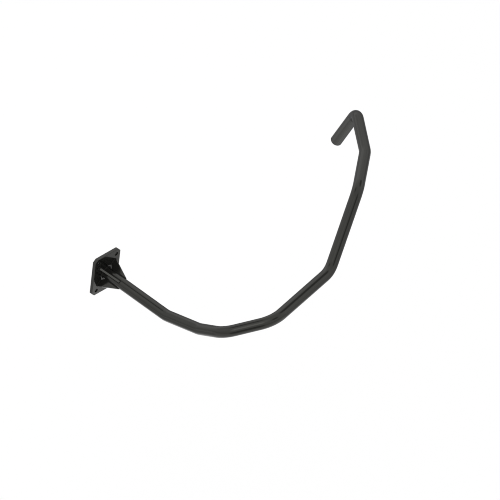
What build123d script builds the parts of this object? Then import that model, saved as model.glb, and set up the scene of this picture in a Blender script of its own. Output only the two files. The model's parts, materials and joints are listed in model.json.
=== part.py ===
from build123d import *

import math
import os

# Bed assist rail: a bent steel tube cantilevered from a bolted base plate.
# Frame: origin at the centre of the plate's back face. +X points out of the plate along the
# first leg of the tube, +Y is the side the rail sweeps towards, and +Z is up. Millimetres.

# --- Base plate ---
PLATE_THICKNESS = 10.0
PLATE_WIDTH = 95.0
PLATE_HEIGHT = 123.0
PLATE_CORNER_CUT = 9.0
PLATE_EDGE_BREAK = 0.8
BOLT_HOLE_DIAMETER = 11.0
BOLT_SPACING_Y = 65.0
BOLT_SPACING_Z = 94.0

# --- Tube ---
TUBE_DIAMETER = 32.0
TUBE_WALL = 2.5
BEND_RADIUS = 71.0
GRIP_BEND_RADIUS = 32.0

# --- Legs of the tube, corner to corner: length, heading in plan and rise, in degrees ---
# Heading turns from +X towards +Y, and rise turns up towards +Z.
OUTREACH_LEG = (230.0, 0.0, 0.0)
FIRST_LIFT_LEG = (125.4, 0.0, 14.9)
SECOND_LIFT_LEG = (100.0, 0.0, 26.5)
CORNER_LEG = (138.0, 49.0, 19.6)
CROSS_LEG = (267.4, 101.2, 0.0)
RISER_LEG = (240.0, 116.2, 34.9)
UPPER_LEG = (160.8, 128.6, 0.0)
RETURN_LEG = (160.8, 143.6, 0.0)
GRIP_LEG = (144.6, 185.0, -66.4)

# --- Gussets, on the four diagonals of the plate ---
GUSSET_THICKNESS = 5.5
GUSSET_FOOT_REACH = 43.5
GUSSET_RUN = 61.0
GUSSET_TOE_LAND = 4.5
GUSSET_TIP_LAND = 2.0
GUSSET_CORNER_CUT = 10.0
GUSSET_ANGLES = {"upper_right": 45.0, "upper_left": 135.0, "lower_left": 225.0, "lower_right": 315.0}

# --- Weld beads ---
ROOT_WELD_LEG = 3.0
FOOT_WELD_LEG = 2.5
SEAM_WELD_LEG = 2.5
WELD_FACE_ANGLE = 45.0

# --- End cap, pushed into the open end of the tube ---
CAP_HEAD_THICKNESS = 4.0
CAP_HEAD_ROUNDING = 2.0
CAP_SHANK_LENGTH = 22.0
CAP_SHANK_WALL = 2.0
CAP_SHANK_CLEARANCE = 1.2
CAP_FIN_CLEARANCE = 0.05
CAP_FIN_THICKNESS = 1.4
CAP_FIN_COUNT = 4

# How far a cutting solid runs past what it cuts
CUT_OVERRUN = 1.0

TUBE_RADIUS = TUBE_DIAMETER / 2
BORE_RADIUS = TUBE_RADIUS - TUBE_WALL


def leg_direction(leg):
    """Unit vector along a leg, from its heading and rise."""
    _, heading, rise = leg
    heading, rise = math.radians(heading), math.radians(rise)
    return Vector(math.cos(rise) * math.cos(heading), math.cos(rise) * math.sin(heading), math.sin(rise))


def tube_corners(legs):
    """Corner points of the centreline, from the plate's front face to the end of the tube."""
    corners = [Vector(PLATE_THICKNESS, 0, 0)]
    for leg in legs:
        corners.append(corners[-1] + leg_direction(leg) * leg[0])
    return corners


def bent_centreline(legs, radii):
    """Straight runs joined by one circular arc at each corner."""
    corners = tube_corners(legs)
    edges = []
    start = corners[0]
    for index, radius in enumerate(radii):
        corner = corners[index + 1]
        arriving = leg_direction(legs[index])
        leaving = leg_direction(legs[index + 1])
        half_turn = math.acos(arriving.dot(leaving)) / 2
        setback = radius * math.tan(half_turn)
        arc_start = corner - arriving * setback
        arc_end = corner + leaving * setback
        inward = (leaving - arriving).normalized()
        arc_middle = corner + inward * (radius / math.cos(half_turn) - radius)
        edges.append(Line(start, arc_start))
        edges.append(ThreePointArc(arc_start, arc_middle, arc_end))
        start = arc_end
    edges.append(Line(start, corners[-1]))
    return Wire(edges)


def x_cylinder(radius, start, length):
    """Solid cylinder on the X axis, from X = start."""
    return extrude(Plane.YZ.offset(start) * Circle(radius), length)


def make_base_plate():
    blank = extrude(Plane.YZ * Rectangle(PLATE_WIDTH, PLATE_HEIGHT), PLATE_THICKNESS)
    plate = chamfer(blank.edges().filter_by(Axis.X), PLATE_CORNER_CUT)
    plate = chamfer(plate.faces().sort_by(Axis.X)[-1].edges(), PLATE_EDGE_BREAK)
    bolt_places = Plane.YZ * GridLocations(BOLT_SPACING_Y, BOLT_SPACING_Z, 2, 2)
    holes = bolt_places * Cylinder(BOLT_HOLE_DIAMETER / 2, 2 * (PLATE_THICKNESS + CUT_OVERRUN))
    return plate - holes


def make_arm_tube(legs):
    radii = [BEND_RADIUS] * (len(legs) - 2) + [GRIP_BEND_RADIUS]
    centreline = bent_centreline(legs, radii)
    section = Plane.YZ.offset(PLATE_THICKNESS) * (Circle(TUBE_RADIUS) - Circle(BORE_RADIUS))
    return sweep(section, path=centreline)


def make_gusset():
    """Triangular plate in the XZ plane above the tube, with clipped corners."""
    foot = PLATE_THICKNESS
    tip = foot + GUSSET_RUN
    outline = Polyline(
        (foot, TUBE_RADIUS + GUSSET_CORNER_CUT),
        (foot, GUSSET_FOOT_REACH),
        (foot + GUSSET_TOE_LAND, GUSSET_FOOT_REACH),
        (tip, TUBE_RADIUS + GUSSET_TIP_LAND),
        (tip, TUBE_RADIUS - GUSSET_TIP_LAND),
        (foot + GUSSET_CORNER_CUT, TUBE_RADIUS - GUSSET_TIP_LAND),
        (foot + GUSSET_CORNER_CUT, TUBE_RADIUS),
        close=True,
    )
    blank = extrude(Plane.XZ * make_face(outline), GUSSET_THICKNESS / 2, both=True)
    return blank - x_cylinder(TUBE_RADIUS, foot, GUSSET_RUN + CUT_OVERRUN)


def make_root_weld():
    """Ring fillet where the tube meets the plate."""
    foot = PLATE_THICKNESS
    profile = Polyline(
        (foot, TUBE_RADIUS),
        (foot, TUBE_RADIUS + ROOT_WELD_LEG),
        (foot + ROOT_WELD_LEG, TUBE_RADIUS),
        close=True,
    )
    return revolve(Plane.XZ * make_face(profile), Axis.X)


def make_foot_weld(gusset):
    """Fillet along both sides of a gusset's foot and round its toe."""
    inner = TUBE_RADIUS + GUSSET_CORNER_CUT
    foot_length = GUSSET_FOOT_REACH - inner
    foot_centre = Location((PLATE_THICKNESS, 0, (inner + GUSSET_FOOT_REACH) / 2))
    base = Rectangle(GUSSET_THICKNESS + 2 * FOOT_WELD_LEG, foot_length + 2 * FOOT_WELD_LEG)
    pad = foot_centre * (Plane.YZ * extrude(base, FOOT_WELD_LEG, taper=WELD_FACE_ANGLE))
    outside_clip = split(pad, bisect_by=Plane.XY.offset(inner), keep=Keep.TOP)
    return outside_clip - gusset


def make_seam_weld(gusset):
    """Fillets along both sides of a gusset, where it stands on the tube."""
    half_width = GUSSET_THICKNESS / 2 + SEAM_WELD_LEG
    edge_height = math.sqrt(TUBE_RADIUS**2 - half_width**2)
    slope = (GUSSET_FOOT_REACH - TUBE_RADIUS - GUSSET_TIP_LAND) / (GUSSET_RUN - GUSSET_TOE_LAND)
    end = PLATE_THICKNESS + GUSSET_RUN - (SEAM_WELD_LEG - GUSSET_TIP_LAND) / slope
    start = PLATE_THICKNESS + GUSSET_CORNER_CUT
    outline = Polyline(
        (-half_width, BORE_RADIUS),
        (-half_width, edge_height),
        (-GUSSET_THICKNESS / 2, TUBE_RADIUS + SEAM_WELD_LEG),
        (GUSSET_THICKNESS / 2, TUBE_RADIUS + SEAM_WELD_LEG),
        (half_width, edge_height),
        (half_width, BORE_RADIUS),
        close=True,
    )
    bar = extrude(Plane.YZ.offset(start) * make_face(outline), end - start)
    return bar - x_cylinder(TUBE_RADIUS, PLATE_THICKNESS, GUSSET_RUN + CUT_OVERRUN) - gusset


def make_end_cap():
    """Plug on its own Z axis: rounded head above Z = 0, finned hollow shank below."""
    head = extrude(Circle(TUBE_RADIUS), CAP_HEAD_THICKNESS)
    head = fillet(head.edges().sort_by(Axis.Z)[-1], CAP_HEAD_ROUNDING)
    shank_radius = BORE_RADIUS - CAP_SHANK_CLEARANCE
    cap = head + extrude(Circle(shank_radius), -CAP_SHANK_LENGTH)
    cap -= extrude(Circle(shank_radius - CAP_SHANK_WALL), -CAP_SHANK_LENGTH)
    fin_pitch = CAP_SHANK_LENGTH / (CAP_FIN_COUNT + 1)
    fin_ring = Circle(BORE_RADIUS - CAP_FIN_CLEARANCE) - Circle(shank_radius - CAP_SHANK_WALL / 2)
    for index in range(CAP_FIN_COUNT):
        height = -fin_pitch * (index + 1)
        cap += Location((0, 0, height)) * extrude(fin_ring, CAP_FIN_THICKNESS / 2, both=True)
    return cap


def seat_in_tube_end(cap, legs):
    """Move the cap from its own axis to the open end of the tube."""
    return Plane(origin=tube_corners(legs)[-1], z_dir=leg_direction(legs[-1])) * cap


def main():
    legs = [OUTREACH_LEG, FIRST_LIFT_LEG, SECOND_LIFT_LEG, CORNER_LEG, CROSS_LEG]
    legs += [RISER_LEG, UPPER_LEG, RETURN_LEG]
    grip_length, grip_heading, grip_rise = GRIP_LEG
    legs.append((grip_length - CAP_HEAD_THICKNESS, grip_heading, grip_rise))

    parts = {
        "base_plate": make_base_plate(),
        "arm_tube": make_arm_tube(legs),
        "root_weld": make_root_weld(),
        "end_cap": seat_in_tube_end(make_end_cap(), legs),
    }
    gusset = make_gusset()
    foot_weld = make_foot_weld(gusset)
    seam_weld = make_seam_weld(gusset)
    for corner, angle in GUSSET_ANGLES.items():
        turn = Rotation(angle - 90, 0, 0)
        parts[f"gusset_{corner}"] = turn * gusset
        parts[f"foot_weld_{corner}"] = turn * foot_weld
        parts[f"seam_weld_{corner}"] = turn * seam_weld

    os.makedirs("parts", exist_ok=True)
    for node, shape in parts.items():
        export_step(shape, f"parts/{node}.step")


main()
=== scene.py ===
import json
import math

import bmesh
import bpy
from mathutils import Matrix, Vector


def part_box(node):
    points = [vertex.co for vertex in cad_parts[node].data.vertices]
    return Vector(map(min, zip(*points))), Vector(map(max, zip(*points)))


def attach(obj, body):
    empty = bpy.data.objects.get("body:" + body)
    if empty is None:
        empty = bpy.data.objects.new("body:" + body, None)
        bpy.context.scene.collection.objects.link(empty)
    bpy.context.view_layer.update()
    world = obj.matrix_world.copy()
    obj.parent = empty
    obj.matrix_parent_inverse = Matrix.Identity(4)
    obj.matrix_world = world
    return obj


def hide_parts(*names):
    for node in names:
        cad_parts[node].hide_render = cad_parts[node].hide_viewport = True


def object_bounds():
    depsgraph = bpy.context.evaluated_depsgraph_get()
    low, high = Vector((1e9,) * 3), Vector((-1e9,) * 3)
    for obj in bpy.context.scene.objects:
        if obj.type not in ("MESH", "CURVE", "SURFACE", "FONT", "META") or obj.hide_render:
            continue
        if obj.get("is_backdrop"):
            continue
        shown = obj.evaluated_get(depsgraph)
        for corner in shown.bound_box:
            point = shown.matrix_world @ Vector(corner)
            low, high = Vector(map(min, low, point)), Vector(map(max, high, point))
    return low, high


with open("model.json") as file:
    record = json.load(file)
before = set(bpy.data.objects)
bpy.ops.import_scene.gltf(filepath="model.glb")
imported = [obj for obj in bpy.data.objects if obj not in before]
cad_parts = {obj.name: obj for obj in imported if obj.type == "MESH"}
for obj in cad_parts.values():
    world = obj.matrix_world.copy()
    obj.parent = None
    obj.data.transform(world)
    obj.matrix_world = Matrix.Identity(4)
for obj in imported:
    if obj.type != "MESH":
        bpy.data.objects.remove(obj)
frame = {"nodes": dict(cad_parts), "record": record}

CAD_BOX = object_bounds()
MM = 0.001

# --- Black powder coat on the steel ---
COAT_COLOUR = (0.0055, 0.0055, 0.0050)
COAT_COLOUR_WORN = (0.0075, 0.0075, 0.0065)
COAT_SPECULAR_TINT = (1.0, 1.0, 0.93, 1.0)
COAT_IOR = 1.5
COAT_SPECULAR = 0.5
# Each roughness runs from the glossiest patch to the dullest
COAT_ROUGHNESS = (0.12, 0.17)
ORANGE_PEEL_SIZE = 1.6 * MM
ORANGE_PEEL_DEPTH = 0.004 * MM
GRAIN_SIZE = 0.45 * MM
GRAIN_SHARE_OF_DEPTH = 0.12
WORN_PATCH_SIZE = 38 * MM
WORN_PATCH_RANGE = (0.45, 0.72)
GLOSS_CLOUD_SIZE = 11 * MM
NOISE_RANGE = (0.3, 0.7)

# --- The same coat over the weld beads, duller ---
WELD_SPECULAR = 0.12
WELD_ROUGHNESS = (0.4, 0.55)
WELD_PEEL_SIZE = 0.9 * MM

# --- Moulded end cap ---
CAP_COLOUR = (0.016, 0.016, 0.016)
CAP_LIGHTER = 1.35
CAP_ROUGHNESS = (0.42, 0.55)
CAP_FLOW_SIZE = 6 * MM
CAP_TEXTURE_SIZE = 0.35 * MM
CAP_TEXTURE_DEPTH = 0.02 * MM

# --- Softened edges ---
PLATE_EDGE_ROUNDING = 1.0 * MM
HOLE_EDGE_ROUNDING = 0.5 * MM
GUSSET_EDGE_ROUNDING = 0.5 * MM
EDGE_SEGMENTS = 3
HOLE_STEPS = 48
SMOOTH_UNDER = math.radians(35)

# --- Sizes that the CAD nodes' boxes don't give ---
PLATE_CORNER_CUT = 9.0 * MM
BOLT_HOLE_RADIUS = frame["record"]["mounts"][1]["dims"]["hole_r_mm"] * MM
BOLT_SPACING_Y = frame["record"]["mounts"][1]["dims"]["spacing_x_mm"] * MM
BOLT_SPACING_Z = frame["record"]["mounts"][1]["dims"]["spacing_y_mm"] * MM
TUBE_RADIUS = 16.0 * MM
GUSSET_THICKNESS = 5.5 * MM
GUSSET_FOOT_REACH = 43.5 * MM
GUSSET_TOE_LAND = 4.5 * MM
GUSSET_TIP_LAND = 2.0 * MM
GUSSET_CORNER_CUT = 10.0 * MM
GUSSET_SEAT_SINK = 0.2 * MM
GUSSET_ANGLES = {"upper_right": 45.0, "upper_left": 135.0, "lower_left": 225.0, "lower_right": 315.0}

# --- Weld beads ---
ROOT_WELD_LEG = 3.0 * MM
FOOT_WELD_LEG = 2.5 * MM
SEAM_WELD_LEG = 2.5 * MM
SEAM_LEG_UNDER_EDGE = 0.95
BEAD_STEP = 0.25 * MM
BEAD_ARC_STEPS = 10
BEAD_TURN_RADIUS = 1.0 * MM
BEAD_TURN_STEPS = 16
BEAD_SINK = 0.4 * MM
BEAD_CROWN = 0.10
BEAD_WANDER = 0.06
BEAD_SMOOTH_UNDER = math.radians(70)
RIPPLE_PITCH = 1.3 * MM
RIPPLE_HEIGHT = 0.12 * MM
RIPPLE_SWEEP = 1.0
RIPPLE_WANDER = 0.25
RIPPLE_SHARPNESS = 0.6
RIPPLE_FADE = 0.4
ROOT_SEED = 1.0
SEAM_SEED_SHIFT = 3.0
RIPPLE_SEED_SHIFT = 5.0
# Each wave of the drift: size, pitch in mm, and how its shift follows the bead's seed
DRIFT_WAVES = ((0.9, 7.3, 1.7, 0.0), (0.6, 3.1, 2.9, 1.0), (0.5, 1.9, 0.8, 2.0))

# --- Camera ---
VIEW_AZIMUTH = math.radians(41.42)
VIEW_ELEVATION = math.radians(39.71)
VIEW_ROLL = math.radians(6.3)
VIEW_WIDTH = 1.339
VIEW_DISTANCE = 3.0
AIM_RIGHT_OF_CENTRE = -0.0660
AIM_ABOVE_CENTRE = -0.0370
PIXEL_FILTER = 1.0

# --- Floor, world and lamps; each lamp is its offset from the rail's centre, its size and its watts ---
# The world and lamps light the floor's colour to about FLOOR_LIT, and FLOOR_GLOW brings that up to white
FLOOR_DROP = 0.55
FLOOR_SIZE = 30.0
FLOOR_CELLS = 8
FLOOR_COLOUR = (0.35, 0.35, 0.35)
FLOOR_ROUGHNESS = 0.9
FLOOR_GLOW = 0.68
FLOOR_LIT = 0.32
WORLD_LIGHT = 0.9
KEY_LAMP = ((0.6, -1.2, 1.8), 1.6, 2.0)
FILL_LAMP = ((-1.6, 0.4, 1.2), 1.8, 1.0)

# --- The studio as the gloss sees it; directions are an azimuth from +X towards +Y and an elevation ---
STUDIO_GLOSS = 1.02
# Dimmer at the horizon, with the full level back at this sine of the angle above or below it
HORIZON_HEIGHT = 0.3
HORIZON_SHARE = 0.7
# Dimmest towards BEHIND, beyond the rail from the camera, fading between these cosines of the angle from it
BEHIND = (122.0, -35.0)
BEHIND_SPAN = (0.30, 0.80)
BEHIND_SHARE = 0.35
# Cards darken the level and panels brighten it. Each is an azimuth, elevation, half-angle and share of the
# level, and its edge fades over PATCH_SOFTNESS degrees to each side.
PATCH_SOFTNESS = 3.0
DARK_CARDS = (
    (92.0, 47.0, 14.0, 0.30),
    (8.0, 47.0, 12.0, 0.32),
    (-46.0, -8.0, 15.0, 0.38),
    (-161.0, 60.0, 8.0, 0.32),
    (174.0, 36.0, 13.0, 0.86),
    (48.0, -24.0, 12.0, 0.62),
    (-118.0, -36.0, 16.0, 0.64),
)
BRIGHT_PANELS = (
    (-68.0, 44.0, 12.0, 1.80),
    (-130.0, 45.0, 16.0, 1.15),
    (-160.0, -34.0, 14.0, 1.25),
    (-144.0, -64.0, 14.0, 1.35),
    (84.0, -60.0, 14.0, 2.30),
    (60.0, -86.0, 16.0, 1.80),
)


# --- Node trees ---

class NodeTree:
    """Short calls that add nodes to a tree and join them."""

    def __init__(self, tree):
        self.tree = tree

    def add(self, kind, **settings):
        node = self.tree.nodes.new(kind)
        for key, value in settings.items():
            setattr(node, key, value)
        return node

    def join(self, source, target):
        self.tree.links.new(source, target)

    def spread(self, source, low, high, to_low, to_high):
        """Move a value from one range to another, held inside it."""
        node = self.add("ShaderNodeMapRange")
        ends = {"From Min": low, "From Max": high, "To Min": to_low, "To Max": to_high}
        for name, value in ends.items():
            node.inputs[name].default_value = value
        self.join(source, node.inputs["Value"])
        return node.outputs["Result"]


class Surface(NodeTree):
    """A material for a piece, textured by the place on the object."""

    def __init__(self, name):
        self.material = bpy.data.materials.new(name)
        self.material.use_nodes = True
        super().__init__(self.material.node_tree)
        self.shader = self.tree.nodes["Principled BSDF"]
        self.position = self.add("ShaderNodeTexCoord").outputs["Object"]

    def noise(self, size, detail=2.0, roughness=0.5):
        node = self.add("ShaderNodeTexNoise")
        node.inputs["Scale"].default_value = 1.0 / size
        node.inputs["Detail"].default_value = detail
        node.inputs["Roughness"].default_value = roughness
        self.join(self.position, node.inputs["Vector"])
        return node.outputs["Fac"]

    def blend(self, factor, colour_a, colour_b):
        node = self.add("ShaderNodeMix", data_type="RGBA")
        self.join(factor, node.inputs["Factor"])
        node.inputs["A"].default_value = (*colour_a, 1.0)
        node.inputs["B"].default_value = (*colour_b, 1.0)
        return node.outputs["Result"]

    def bump(self, height, depth, below=None):
        node = self.add("ShaderNodeBump")
        node.inputs["Distance"].default_value = depth
        node.inputs["Strength"].default_value = 1.0
        self.join(height, node.inputs["Height"])
        if below:
            self.join(below, node.inputs["Normal"])
        return node.outputs["Normal"]


class Stage(NodeTree):
    """A stage material or world, whose glow can differ for what the camera and the gloss see."""

    def __init__(self, tree):
        super().__init__(tree)
        rays = self.add("ShaderNodeLightPath").outputs
        self.camera_ray = rays["Is Camera Ray"]
        self.glossy_ray = rays["Is Glossy Ray"]

    def maths(self, operation, a, b):
        node = self.add("ShaderNodeMath", operation=operation)
        for socket, value in zip(node.inputs, (a, b)):
            if isinstance(value, (int, float)):
                socket.default_value = value
            else:
                self.join(value, socket)
        return node.outputs["Value"]

    def dot(self, vector, direction):
        node = self.add("ShaderNodeVectorMath", operation="DOT_PRODUCT")
        self.join(vector, node.inputs[0])
        node.inputs[1].default_value = direction
        return node.outputs["Value"]

    def per_ray(self, seen, glossy, lit):
        """One level for camera rays, one for glossy rays and one for light that falls on things."""
        to_camera = self.maths("MULTIPLY", self.camera_ray, seen)
        to_gloss = self.maths("MULTIPLY", self.glossy_ray, glossy)
        either = self.maths("MAXIMUM", self.camera_ray, self.glossy_ray)
        to_rest = self.maths("MULTIPLY", self.maths("SUBTRACT", 1.0, either), lit)
        return self.maths("ADD", self.maths("ADD", to_camera, to_gloss), to_rest)


# --- Materials ---

def powder_coat(name, peel_size, roughness, specular):
    """Black powder coat: orange peel, cloudy gloss and faint worn patches."""
    coat = Surface(name)
    worn = coat.spread(coat.noise(WORN_PATCH_SIZE, detail=3.0), *WORN_PATCH_RANGE, 0.0, 1.0)
    coat.join(coat.blend(worn, COAT_COLOUR, COAT_COLOUR_WORN), coat.shader.inputs["Base Color"])
    cloud = coat.noise(GLOSS_CLOUD_SIZE, detail=4.0, roughness=0.6)
    coat.join(coat.spread(cloud, *NOISE_RANGE, *roughness), coat.shader.inputs["Roughness"])
    grain = coat.bump(coat.noise(GRAIN_SIZE, detail=1.0), ORANGE_PEEL_DEPTH * GRAIN_SHARE_OF_DEPTH)
    peel = coat.bump(coat.noise(peel_size, detail=1.5), ORANGE_PEEL_DEPTH, below=grain)
    coat.join(peel, coat.shader.inputs["Normal"])
    coat.shader.inputs["IOR"].default_value = COAT_IOR
    coat.shader.inputs["Specular IOR Level"].default_value = specular
    coat.shader.inputs["Specular Tint"].default_value = COAT_SPECULAR_TINT
    return coat.material


def cap_plastic():
    """Moulded black polyethylene with a fine spark-eroded texture."""
    plastic = Surface("cap_plastic_fine_texture")
    flow = plastic.noise(CAP_FLOW_SIZE, detail=3.0)
    plastic.join(plastic.spread(flow, *NOISE_RANGE, *CAP_ROUGHNESS), plastic.shader.inputs["Roughness"])
    lighter = tuple(value * CAP_LIGHTER for value in CAP_COLOUR)
    plastic.join(plastic.blend(flow, CAP_COLOUR, lighter), plastic.shader.inputs["Base Color"])
    texture = plastic.bump(plastic.noise(CAP_TEXTURE_SIZE), CAP_TEXTURE_DEPTH)
    plastic.join(texture, plastic.shader.inputs["Normal"])
    return plastic.material


# --- Mesh pieces ---

def ring_point(radius, angle, x):
    """Point at a radius from the X axis; angle 0 is +Y and a quarter turn is +Z."""
    return Vector((x, radius * math.cos(angle), radius * math.sin(angle)))


def diagonal_axes(angle):
    """Directions away from the tube and across a gusset, for the diagonal at an angle."""
    return Vector((0, math.cos(angle), math.sin(angle))), Vector((0, -math.sin(angle), math.cos(angle)))


def new_piece(name, mesh, material, slot, *replaced):
    """Put a finished mesh into the scene as a piece that stands for CAD nodes."""
    piece = bpy.data.objects.new(name, mesh)
    bpy.context.scene.collection.objects.link(piece)
    mesh.materials.append(material)
    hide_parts(*replaced)
    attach(piece, "root")
    return piece


def mesh_from(name, bm, flat_faces=(), smooth_under=SMOOTH_UNDER):
    """Mesh with true outward normals, shaded smooth except on its flat faces and sharp edges."""
    bmesh.ops.recalc_face_normals(bm, faces=bm.faces)
    for face in bm.faces:
        face.smooth = True
    for face in flat_faces:
        face.smooth = False
    for edge in bm.edges:
        if len(edge.link_faces) == 2 and edge.calc_face_angle(0.0) > smooth_under:
            edge.smooth = False
    mesh = bpy.data.meshes.new(name)
    bm.to_mesh(mesh)
    bm.free()
    return mesh


def join_rings(bm, rings):
    """Faces between each ring of corners and the next, as one list for each band."""
    bands = []
    for here, there in zip(rings[:-1], rings[1:]):
        band = []
        for i in range(len(here)):
            j = (i + 1) % len(here)
            band.append(bm.faces.new((here[i], here[j], there[j], there[i])))
        bands.append(band)
    return bands


def wall_levels(low, high, rounding):
    """Height and inset of a wall's rings from bottom to top, with a quarter round at each rim."""
    quarter = []
    for step in range(EDGE_SEGMENTS + 1):
        angle = math.pi / 2 * step / EDGE_SEGMENTS
        quarter.append((rounding * (1 - math.cos(angle)), rounding * (1 - math.sin(angle))))
    bottom = [(low + rise, inset) for rise, inset in quarter]
    top = [(high - rise, inset) for rise, inset in reversed(quarter)]
    return bottom + top


def rounded_slab(name, walls, low, high, to_world):
    """Plate between two heights. Each wall is a loop function and its rounding, the outer wall first."""
    bm = bmesh.new()
    bottom_rims, top_rims = [], []
    flat_faces = []
    for loop, rounding in walls:
        rings = []
        for height, inset in wall_levels(low, high, rounding):
            rings.append([bm.verts.new(to_world(*point, height)) for point in loop(inset)])
        bands = join_rings(bm, rings)
        if not bottom_rims:
            flat_faces += bands[EDGE_SEGMENTS]
        bottom_rims.append(rings[0])
        top_rims.append(rings[-1])
    for rims in (bottom_rims, top_rims):
        edges = [bm.edges.get((rim[i - 1], rim[i])) for rim in rims for i in range(len(rim))]
        filled = bmesh.ops.triangle_fill(bm, edges=edges, use_beauty=True, use_dissolve=False)["geom"]
        flat_faces += [part for part in filled if isinstance(part, bmesh.types.BMFace)]
    return mesh_from(name, bm, flat_faces)


def polygon_loop(points):
    """Loop function of a convex polygon, listed anticlockwise: its points moved in by an inset."""
    def at_inset(inset):
        moved = []
        for i, point in enumerate(points):
            before, after = Vector(points[i - 1]), Vector(points[(i + 1) % len(points)])
            here = Vector(point)
            arriving, leaving = (here - before).normalized(), (after - here).normalized()
            normal_in = Vector((-arriving.y, arriving.x))
            normal_out = Vector((-leaving.y, leaving.x))
            mitre = (normal_in + normal_out).normalized()
            moved.append(tuple(here + mitre * inset / mitre.dot(normal_out)))
        return moved
    return at_inset


def hole_loop(centre, radius):
    """Loop function of a round hole, which opens outwards by the inset."""
    def at_inset(inset):
        size = radius + inset
        turns = [2 * math.pi * i / HOLE_STEPS for i in range(HOLE_STEPS)]
        return [(centre[0] + size * math.cos(t), centre[1] + size * math.sin(t)) for t in turns]
    return at_inset


def make_base_plate(material):
    """Bolted plate with cut corners, softened rims and four holes."""
    low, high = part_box("base_plate")
    y, z, cut = high.y, high.z, PLATE_CORNER_CUT
    corners = [(y, z - cut), (y - cut, z), (cut - y, z), (-y, z - cut)]
    corners += [(-a, -b) for a, b in corners]
    walls = [(polygon_loop(corners), PLATE_EDGE_ROUNDING)]
    for side_y in (-1, 1):
        for side_z in (-1, 1):
            place = (side_y * BOLT_SPACING_Y / 2, side_z * BOLT_SPACING_Z / 2)
            walls.append((hole_loop(place, BOLT_HOLE_RADIUS), HOLE_EDGE_ROUNDING))

    def to_world(a, b, height):
        return Vector((height, a, b))

    mesh = rounded_slab("base_plate_rounded", walls, low.x, high.x, to_world)
    return new_piece("base_plate_rounded", mesh, material, "powder_coat", "base_plate")


def make_gusset(corner, angle, material):
    """Laser-cut triangle with clipped corners, standing on the tube at one of the diagonals."""
    low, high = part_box("gusset_" + corner)
    foot, tip = low.x, high.x
    seat = TUBE_RADIUS - GUSSET_SEAT_SINK
    outline = [
        (foot, TUBE_RADIUS + GUSSET_CORNER_CUT),
        (foot + GUSSET_CORNER_CUT, seat),
        (tip, seat),
        (tip, TUBE_RADIUS + GUSSET_TIP_LAND),
        (foot + GUSSET_TOE_LAND, GUSSET_FOOT_REACH),
        (foot, GUSSET_FOOT_REACH),
    ]
    outward, across = diagonal_axes(angle)

    def to_world(x, reach, side):
        return Vector((x, 0, 0)) + outward * reach + across * side

    half = GUSSET_THICKNESS / 2
    name = "gusset_" + corner + "_rounded"
    mesh = rounded_slab(name, [(polygon_loop(outline), GUSSET_EDGE_ROUNDING)], -half, half, to_world)
    return new_piece(name, mesh, material, "powder_coat", "gusset_" + corner)


# --- Weld beads ---

def drift(distance, seed):
    """Slow, repeatable drift of a hand-laid bead, between -1 and 1."""
    total = sum(size for size, _, _, _ in DRIFT_WAVES)
    waves = (size * math.sin(distance / (pitch * MM) + (seed * turn + shift))
             for size, pitch, turn, shift in DRIFT_WAVES)
    return sum(waves) / total


def bead_ring(bm, corner, toe_a, toe_b, travelled, seed):
    """Corners of a bead's section: its crowned and rippled face, then its sunk root."""
    widening = 1.0 + BEAD_WANDER * drift(travelled, seed)
    face_out = ((toe_a + toe_b) / 2 - corner).normalized()
    leg = (toe_b - toe_a).length
    ring = []
    for step in range(BEAD_ARC_STEPS + 1):
        part = step / BEAD_ARC_STEPS
        edge = 2 * part - 1
        swell = 1 - edge * edge
        phase = travelled / RIPPLE_PITCH + RIPPLE_SWEEP * swell
        phase += RIPPLE_WANDER * drift(travelled, seed + RIPPLE_SEED_SHIFT)
        crest = abs(math.sin(math.pi * phase)) ** RIPPLE_SHARPNESS
        height = leg * BEAD_CROWN * swell + RIPPLE_HEIGHT * (crest - 0.5) * swell ** RIPPLE_FADE
        place = corner + (toe_a.lerp(toe_b, part) - corner) * widening
        ring.append(bm.verts.new(place + face_out * height))
    ring.append(bm.verts.new(corner - face_out * BEAD_SINK))
    return ring


def bead_mesh(name, route, closed, seed):
    """Rippled weld bead. Each route row holds its corner, and the toes on its two surfaces."""
    bm = bmesh.new()
    travelled = 0.0
    last_middle = None
    rings = []
    for corner, toe_a, toe_b in route:
        middle = (toe_a + toe_b) / 2
        if last_middle is not None:
            travelled += (middle - last_middle).length
        last_middle = middle
        rings.append(bead_ring(bm, corner, toe_a, toe_b, travelled, seed))
    if closed:
        join_rings(bm, rings + rings[:1])
    else:
        join_rings(bm, rings)
        bm.faces.new(rings[0])
        bm.faces.new(rings[-1][::-1])
    return mesh_from(name, bm, smooth_under=BEAD_SMOOTH_UNDER)


def make_root_weld(material):
    """Ring bead between the tube and the plate."""
    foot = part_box("base_plate")[1].x
    count = round(2 * math.pi * (TUBE_RADIUS + ROOT_WELD_LEG / 2) / BEAD_STEP)
    route = []
    for i in range(count):
        angle = 2 * math.pi * i / count
        corner = ring_point(TUBE_RADIUS, angle, foot)
        on_plate = ring_point(TUBE_RADIUS + ROOT_WELD_LEG, angle, foot)
        on_tube = ring_point(TUBE_RADIUS, angle, foot + ROOT_WELD_LEG)
        route.append((corner, on_plate, on_tube))
    mesh = bead_mesh("root_weld_bead", route, True, ROOT_SEED)
    return new_piece("root_weld_bead", mesh, material, "coated_weld", "root_weld")


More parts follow.
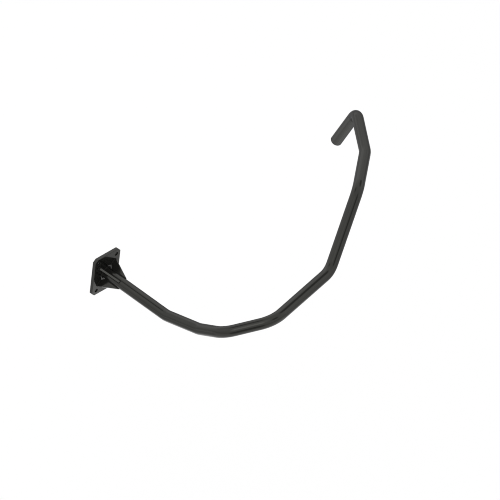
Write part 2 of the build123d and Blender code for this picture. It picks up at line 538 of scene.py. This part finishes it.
def u_route(length, half_width):
    """Distance along, side and outward direction round a U: up one side, round the end and back."""
    steps = []
    straight = length - BEAD_TURN_RADIUS
    inner = half_width - BEAD_TURN_RADIUS
    count = round(straight / BEAD_STEP)
    for i in range(count):
        steps.append((straight * i / count, half_width, 0.0, 1.0))
    for i in range(BEAD_TURN_STEPS + 1):
        angle = math.pi / 2 * i / BEAD_TURN_STEPS
        sideways, onwards = math.cos(angle), math.sin(angle)
        along = straight + BEAD_TURN_RADIUS * onwards
        steps.append((along, inner + BEAD_TURN_RADIUS * sideways, onwards, sideways))
    cross_count = round(inner / BEAD_STEP)
    for i in range(1, cross_count + 1):
        steps.append((length, inner * (1 - i / cross_count), 1.0, 0.0))
    mirrored = [(along, -side, onwards, -sideways) for along, side, onwards, sideways in steps[-2::-1]]
    return steps + mirrored


def make_foot_weld(corner, angle, material):
    """Bead on the plate along both sides of a gusset's foot and round its toe."""
    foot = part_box("base_plate")[1].x
    inner = TUBE_RADIUS + GUSSET_CORNER_CUT
    outward, across = diagonal_axes(angle)
    up = Vector((1, 0, 0))
    route = []
    steps = u_route(GUSSET_FOOT_REACH - inner, GUSSET_THICKNESS / 2)
    for along, side, onwards, sideways in steps:
        base = up * foot + outward * (inner + along) + across * side
        away = outward * onwards + across * sideways
        route.append((base, base + away * FOOT_WELD_LEG, base + up * FOOT_WELD_LEG))
    name = "foot_weld_" + corner + "_bead"
    mesh = bead_mesh(name, route, False, angle)
    return new_piece(name, mesh, material, "coated_weld", "foot_weld_" + corner)


def make_seam_weld(corner, angle, material):
    """Bead on the tube along both sides of a gusset and round its tip."""
    low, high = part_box("gusset_" + corner)
    outward, _ = diagonal_axes(angle)
    start = low.x + GUSSET_CORNER_CUT
    length = high.x - start
    slope = (GUSSET_FOOT_REACH - TUBE_RADIUS - GUSSET_TIP_LAND) / (high.x - low.x - GUSSET_TOE_LAND)
    route = []
    for along, side, onwards, sideways in u_route(length, GUSSET_THICKNESS / 2):
        x = start + along
        gusset_height = GUSSET_TIP_LAND + slope * (length - along)
        leg = min(SEAM_WELD_LEG, gusset_height * SEAM_LEG_UNDER_EDGE)
        foot_turn = side / TUBE_RADIUS
        toe_turn = (side + sideways * leg) / TUBE_RADIUS
        corner_point = ring_point(TUBE_RADIUS, angle + foot_turn, x)
        on_tube = ring_point(TUBE_RADIUS, angle + toe_turn, x + onwards * leg)
        route.append((corner_point, on_tube, corner_point + outward * leg))
    name = "seam_weld_" + corner + "_bead"
    mesh = bead_mesh(name, route, False, angle + SEAM_SEED_SHIFT)
    return new_piece(name, mesh, material, "coated_weld", "seam_weld_" + corner)


# --- Stage ---

def view_axes():
    """Right, up and towards-the-viewer directions of the camera."""
    back = Vector((
        math.sin(VIEW_AZIMUTH) * math.cos(VIEW_ELEVATION),
        -math.cos(VIEW_AZIMUTH) * math.cos(VIEW_ELEVATION),
        math.sin(VIEW_ELEVATION)))
    level = Vector((math.cos(VIEW_AZIMUTH), math.sin(VIEW_AZIMUTH), 0))
    right = Matrix.Rotation(VIEW_ROLL, 3, back) @ level
    return right, back.cross(right), back


def box_centre():
    """Middle of the whole object's box."""
    low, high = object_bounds()
    return (Vector(low) + Vector(high)) / 2


def make_camera():
    """Camera without perspective, at the product shot's angle."""
    right, up, back = view_axes()
    data = bpy.data.cameras.new("camera")
    data.type = "ORTHO"
    data.ortho_scale = VIEW_WIDTH
    camera = bpy.data.objects.new("camera", data)
    aim = box_centre() + right * AIM_RIGHT_OF_CENTRE + up * AIM_ABOVE_CENTRE
    rotation = Matrix((right, up, back)).transposed().to_4x4()
    camera.matrix_world = Matrix.Translation(aim + back * VIEW_DISTANCE) @ rotation
    bpy.context.scene.collection.objects.link(camera)
    bpy.context.scene.camera = camera


def area_light(name, offset, size, power):
    """Soft lamp at an offset from the object's centre, facing it."""
    data = bpy.data.lights.new(name, "AREA")
    data.shape = "DISK"
    data.size = size
    data.energy = power
    lamp = bpy.data.objects.new(name, data)
    lamp.location = box_centre() + Vector(offset)
    lamp.rotation_euler = Vector(offset).to_track_quat("Z", "Y").to_euler()
    bpy.context.scene.collection.objects.link(lamp)


def compass(azimuth, elevation):
    """Unit vector from an azimuth measured from +X towards +Y, and an elevation, in degrees."""
    a, e = math.radians(azimuth), math.radians(elevation)
    return Vector((math.cos(e) * math.cos(a), math.cos(e) * math.sin(a), math.sin(e)))


def studio_gloss(stage, direction):
    """How bright the gloss sees the studio: white, dim at the horizon and behind, with its patches."""
    height = stage.maths("ABSOLUTE", stage.dot(direction, (0, 0, 1)), 0.0)
    level = stage.spread(height, 0.0, HORIZON_HEIGHT, STUDIO_GLOSS * HORIZON_SHARE, STUDIO_GLOSS)
    behind = stage.dot(direction, compass(*BEHIND))
    level = stage.maths("MULTIPLY", level, stage.spread(behind, *BEHIND_SPAN, 1.0, BEHIND_SHARE))
    for azimuth, elevation, half_angle, share in DARK_CARDS + BRIGHT_PANELS:
        nearness = stage.dot(direction, compass(azimuth, elevation))
        outer = math.cos(math.radians(half_angle + PATCH_SOFTNESS))
        inner = math.cos(math.radians(half_angle - PATCH_SOFTNESS))
        level = stage.maths("MULTIPLY", level, stage.spread(nearness, outer, inner, 1.0, share))
    return level


def make_world():
    """White studio around the rail."""
    world = bpy.data.worlds.new("studio")
    world.use_nodes = True
    stage = Stage(world.node_tree)
    direction = stage.add("ShaderNodeTexCoord").outputs["Generated"]
    background = world.node_tree.nodes["Background"]
    background.inputs["Color"].default_value = (1.0, 1.0, 1.0, 1.0)
    glow = stage.per_ray(1.0, studio_gloss(stage, direction), WORLD_LIGHT)
    stage.join(glow, background.inputs["Strength"])
    bpy.context.scene.world = world


def floor_material(rail_height):
    """Pale floor, seen at its own direction from the middle of the rail, which is that high above it."""
    material = bpy.data.materials.new("pale_floor")
    material.use_nodes = True
    stage = Stage(material.node_tree)
    from_rail = stage.add("ShaderNodeVectorMath", operation="SUBTRACT")
    stage.join(stage.add("ShaderNodeTexCoord").outputs["Object"], from_rail.inputs[0])
    from_rail.inputs[1].default_value = (0, 0, rail_height)
    unit = stage.add("ShaderNodeVectorMath", operation="NORMALIZE")
    stage.join(from_rail.outputs["Vector"], unit.inputs[0])
    shader = stage.tree.nodes["Principled BSDF"]
    shader.inputs["Base Color"].default_value = (*FLOOR_COLOUR, 1.0)
    shader.inputs["Roughness"].default_value = FLOOR_ROUGHNESS
    shader.inputs["Specular IOR Level"].default_value = 0.0
    shader.inputs["Emission Color"].default_value = (1.0, 1.0, 1.0, 1.0)
    # The gloss sees the floor's own lit level too, so only the rest of the studio's level glows
    gloss = stage.maths("SUBTRACT", studio_gloss(stage, unit.outputs["Vector"]), FLOOR_LIT)
    gloss = stage.maths("MAXIMUM", gloss, 0.0)
    stage.join(stage.per_ray(FLOOR_GLOW, gloss, FLOOR_GLOW), shader.inputs["Emission Strength"])
    return material


def make_floor():
    """Floor well below the held rail. It looks white to the camera and keeps the soft shadow."""
    low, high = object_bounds()
    bm = bmesh.new()
    bmesh.ops.create_grid(bm, x_segments=FLOOR_CELLS, y_segments=FLOOR_CELLS, size=FLOOR_SIZE / 2)
    mesh = bpy.data.meshes.new("floor")
    bm.to_mesh(mesh)
    bm.free()
    mesh.materials.append(floor_material(FLOOR_DROP + (high[2] - low[2]) / 2))
    floor = bpy.data.objects.new("floor", mesh)
    centre = box_centre()
    floor.location = (centre.x, centre.y, low[2] - FLOOR_DROP)
    bpy.context.scene.collection.objects.link(floor)
    floor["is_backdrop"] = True


def coat_cad_node(node, material):
    """Give a CAD node that keeps its own mesh a new material."""
    materials = frame["nodes"][node].data.materials
    materials.clear()
    materials.append(material)


def main():
    coat = powder_coat("satin_black_powder_coat", ORANGE_PEEL_SIZE, COAT_ROUGHNESS, COAT_SPECULAR)
    weld_coat = powder_coat("coated_weld_bead", WELD_PEEL_SIZE, WELD_ROUGHNESS, WELD_SPECULAR)
    coat_cad_node("arm_tube", coat)
    coat_cad_node("end_cap", cap_plastic())
    make_base_plate(coat)
    make_root_weld(weld_coat)
    for corner, degrees in GUSSET_ANGLES.items():
        angle = math.radians(degrees)
        make_gusset(corner, angle, coat)
        make_foot_weld(corner, angle, weld_coat)
        make_seam_weld(corner, angle, weld_coat)
    make_camera()
    make_world()
    make_floor()
    area_light("key", *KEY_LAMP)
    area_light("fill", *FILL_LAMP)
    bpy.context.scene.view_settings.view_transform = "Standard"
    bpy.context.scene.cycles.filter_width = PIXEL_FILTER


main()
boxes = {"cad": CAD_BOX, "visual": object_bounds()}
boxes = {name: [[float(v) for v in corner] for corner in box] for name, box in boxes.items()}
